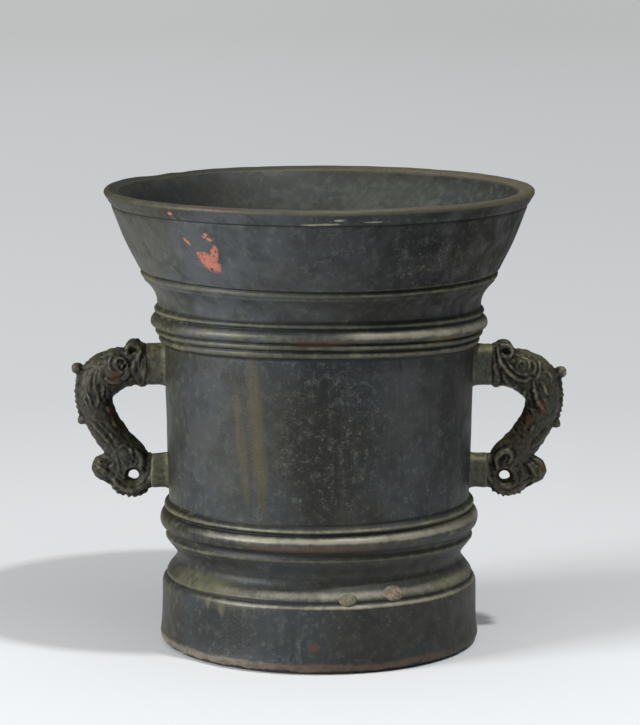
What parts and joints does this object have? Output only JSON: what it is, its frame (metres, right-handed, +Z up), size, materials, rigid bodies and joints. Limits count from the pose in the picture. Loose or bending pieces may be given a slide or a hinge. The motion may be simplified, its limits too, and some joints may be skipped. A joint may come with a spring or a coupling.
{
  "type": "grinding bowl",
  "caption": "Cast bronze mortar with a flared mouth, turned mouldings, a solid foot and two cast dolphin handles on short lugs, for grinding with a pestle.",
  "frame": {"origin": "centre of the foot's flat underside, where the bowl stands", "axes": "+Z up along the bowl's turning axis, X through the two handles, -Y towards the picture's viewer"},
  "size_m": [0.1626, 0.14, 0.15],
  "materials": {
    "body_bronze": "dark patinated cast bronze, satin, with green verdigris in the grooves",
    "handle_bronze": "rough cast bronze, dark olive-brown patina",
    "lug_bronze": "cast bronze, olive patina with verdigris on top",
    "plug_metal": "pale worn filler metal, dull"
  },
  "bodies": {
    "root": {"mortar_body": "body_bronze", "dolphin_handle_right": "handle_bronze", "dolphin_handle_left": "handle_bronze", "upper_lug_right": "lug_bronze", "lower_lug_right": "lug_bronze", "upper_lug_left": "lug_bronze", "lower_lug_left": "lug_bronze", "ledge_plug_1": "plug_metal", "ledge_plug_2": "plug_metal"}
  },
  "joints": []
}
